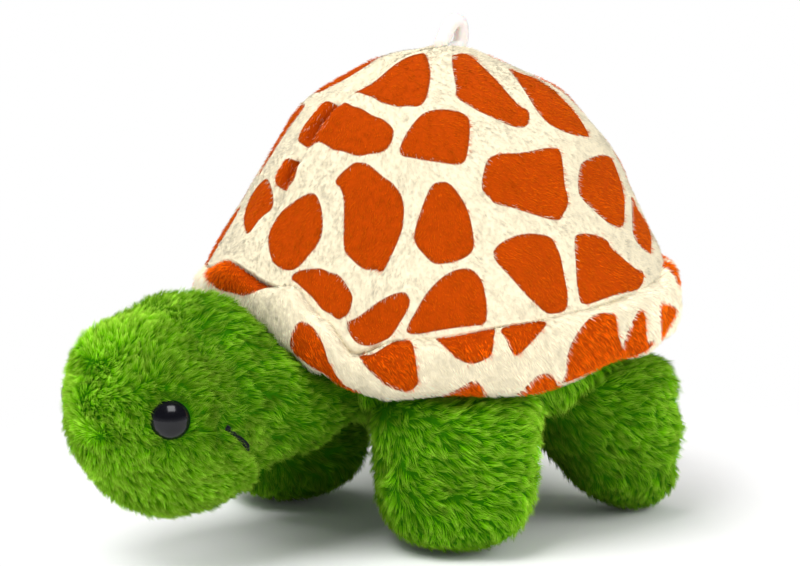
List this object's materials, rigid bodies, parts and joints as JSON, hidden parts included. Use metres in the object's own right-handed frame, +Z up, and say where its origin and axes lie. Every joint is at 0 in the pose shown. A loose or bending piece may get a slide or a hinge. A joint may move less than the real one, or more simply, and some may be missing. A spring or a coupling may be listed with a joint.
{
  "type": "plush turtle",
  "caption": "Small stuffed plush turtle with a giraffe-print shell, sprung sewn legs, neck and head, button eyes and a hanging loop.",
  "frame": {"origin": "on the floor that the soles stand on, under the middle of the turtle's bounding box", "axes": "+Z up, the head points along -Y, the turtle's own left side is at +X"},
  "size_m": [0.1028, 0.1456, 0.1057],
  "materials": {
    "printed_plush": "matte",
    "green_plush": "matte",
    "fibre_filling": "matte",
    "eye_black": "gloss",
    "washer_plastic": "satin",
    "thread": "matte",
    "loop_plastic": "satin"
  },
  "bodies": {
    "torso": {"shell_panel_left": "printed_plush", "shell_panel_right": "printed_plush", "shell_brim": "printed_plush", "shell_stuffing": "fibre_filling", "body_cover": "green_plush", "body_stuffing": "fibre_filling"},
    "neck": {"neck_cover": "green_plush", "neck_stuffing": "fibre_filling"},
    "head": {"head_cover": "green_plush", "head_stuffing": "fibre_filling", "eye_left": "eye_black", "eye_right": "eye_black", "eye_washer_left": "washer_plastic", "eye_washer_right": "washer_plastic", "mouth_thread": "thread"},
    "leg_front_left": {"leg_front_left_cover": "green_plush", "leg_front_left_stuffing": "fibre_filling"},
    "leg_front_right": {"leg_front_right_cover": "green_plush", "leg_front_right_stuffing": "fibre_filling"},
    "leg_rear_left": {"leg_rear_left_cover": "green_plush", "leg_rear_left_stuffing": "fibre_filling"},
    "leg_rear_right": {"leg_rear_right_cover": "green_plush", "leg_rear_right_stuffing": "fibre_filling"},
    "loop": {"hang_loop": "loop_plastic"}
  },
  "joints": [
    {"name": "neck_turn", "type": "hinge", "parent": "torso", "child": "neck", "pos_m": [0, -0.0226, 0.0308], "axis": [0, 0, 1], "range_deg": [-20, 20], "stiffness_Nm_per_rad": 0.12},
    {"name": "head_nod", "type": "hinge", "parent": "neck", "child": "head", "pos_m": [0, -0.0516, 0.0318], "axis": [1, 0, 0], "range_deg": [-12, 12], "stiffness_Nm_per_rad": 0.12},
    {"name": "leg_front_left_swing", "type": "hinge", "parent": "torso", "child": "leg_front_left", "pos_m": [0.0266, 0.0004, 0.0235], "axis": [1, 0, 0], "range_deg": [-12, 12], "stiffness_Nm_per_rad": 0.5},
    {"name": "leg_front_right_swing", "type": "hinge", "parent": "torso", "child": "leg_front_right", "pos_m": [-0.0266, 0.0004, 0.0235], "axis": [1, 0, 0], "range_deg": [-12, 12], "stiffness_Nm_per_rad": 0.5},
    {"name": "leg_rear_left_swing", "type": "hinge", "parent": "torso", "child": "leg_rear_left", "pos_m": [0.0266, 0.0409, 0.0235], "axis": [1, 0, 0], "range_deg": [-12, 12], "stiffness_Nm_per_rad": 0.5},
    {"name": "leg_rear_right_swing", "type": "hinge", "parent": "torso", "child": "leg_rear_right", "pos_m": [-0.0266, 0.0409, 0.0235], "axis": [1, 0, 0], "range_deg": [-12, 12], "stiffness_Nm_per_rad": 0.5},
    {"name": "loop_flop", "type": "hinge", "parent": "torso", "child": "loop", "pos_m": [0, 0.0236, 0.0997], "axis": [0, 1, 0], "range_deg": [-45, 45], "stiffness_Nm_per_rad": 0.002}
  ]
}
